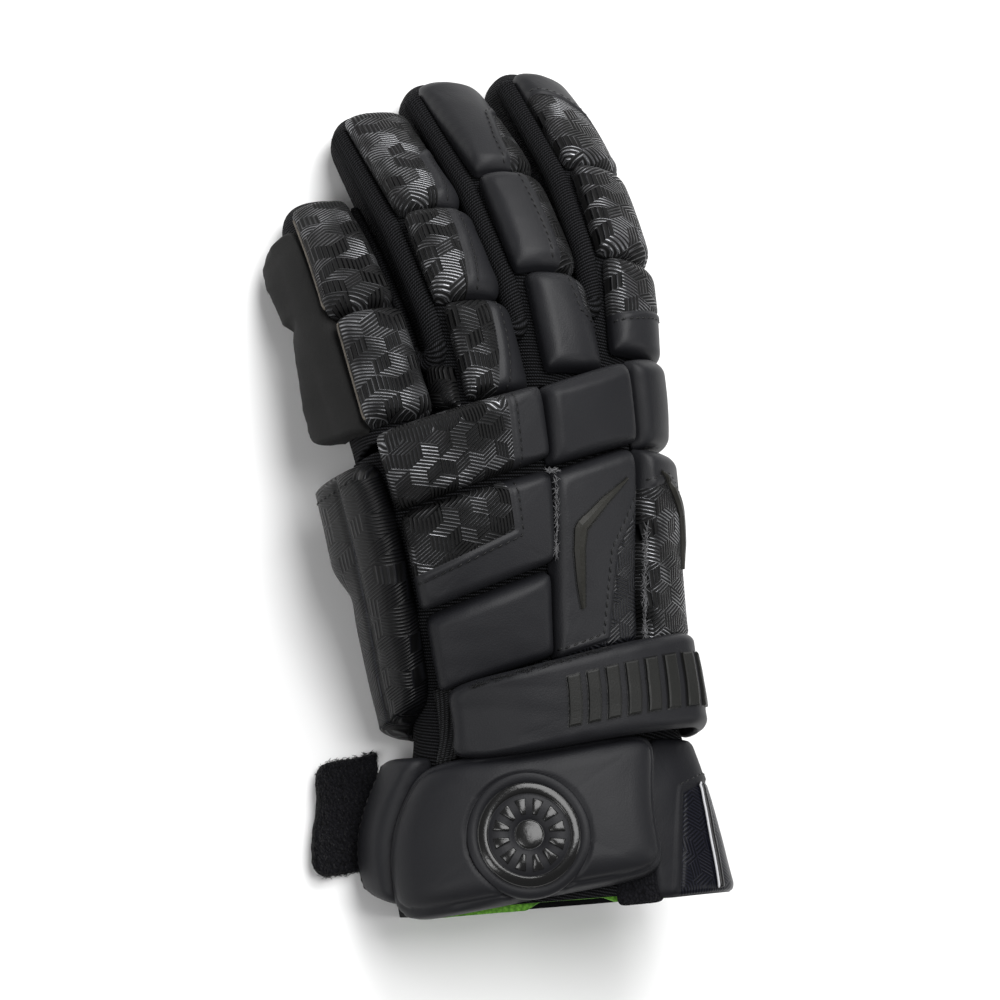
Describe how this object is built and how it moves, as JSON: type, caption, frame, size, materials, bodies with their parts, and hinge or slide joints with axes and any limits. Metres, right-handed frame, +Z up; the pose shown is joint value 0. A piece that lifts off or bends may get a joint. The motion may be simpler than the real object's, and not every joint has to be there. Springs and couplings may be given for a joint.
{
  "type": "left-hand padded lacrosse glove",
  "caption": "Left-hand padded stick-sport glove lying palm down: knit liner with four fingers and a thumb, segmented finger and backhand pads, wrist strap and padded cuff.",
  "frame": {"origin": "middle of the ground that the glove covers, on the surface it rests on", "axes": "+Z up, +Y towards the fingertips, +X towards the thumb side"},
  "size_m": [0.1874, 0.3432, 0.0901],
  "materials": {
    "knit": "matte ribbed knit",
    "smooth_leather": "satin charcoal synthetic leather",
    "embossed_gloss": "glossy black, embossed with fine lines",
    "matte_patch": "matte woven dark grey",
    "raised_bars": "matte moulded olive grey",
    "lining": "bright green edge of the lining",
    "webbing": "ribbed black webbing",
    "loop_fabric": "brushed black loop fabric",
    "palm_leather": "soft matte palm leather"
  },
  "bodies": {
    "root": {"hand_liner": "knit", "little_liner": "knit", "ring_liner": "knit", "middle_liner": "knit", "index_liner": "knit", "thumb_liner": "knit", "little_roll_far": "embossed_gloss", "little_roll_near": "embossed_gloss", "ring_roll_far": "embossed_gloss", "ring_roll_middle": "embossed_gloss", "ring_roll_near": "embossed_gloss", "middle_roll_far": "embossed_gloss", "middle_roll_middle": "embossed_gloss", "middle_roll_near": "embossed_gloss", "index_roll_far": "embossed_gloss", "index_roll_middle": "embossed_gloss", "index_roll_near": "embossed_gloss", "thumb_roll_far": "embossed_gloss", "thumb_roll_near": "embossed_gloss", "knuckle_roll_outer": "embossed_gloss", "backhand_roll_upper": "embossed_gloss", "side_bolster": "embossed_gloss", "knuckle_roll_middle": "smooth_leather", "knuckle_roll_inner": "smooth_leather", "backhand_roll_lower": "smooth_leather", "backhand_plate_outer": "smooth_leather", "backhand_plate_inner": "smooth_leather", "wrist_pad": "smooth_leather", "wrist_strap": "smooth_leather", "cuff_shield": "smooth_leather", "cuff_band": "smooth_leather", "cuff_flare": "smooth_leather", "little_side_patch": "matte_patch", "palm_leather": "palm_leather", "webbing_tab": "webbing", "loop_strap": "loop_fabric", "cuff_lining": "lining", "chevron_outer": "raised_bars", "chevron_inner": "raised_bars", "badge_boss": "raised_bars"}
  },
  "joints": []
}
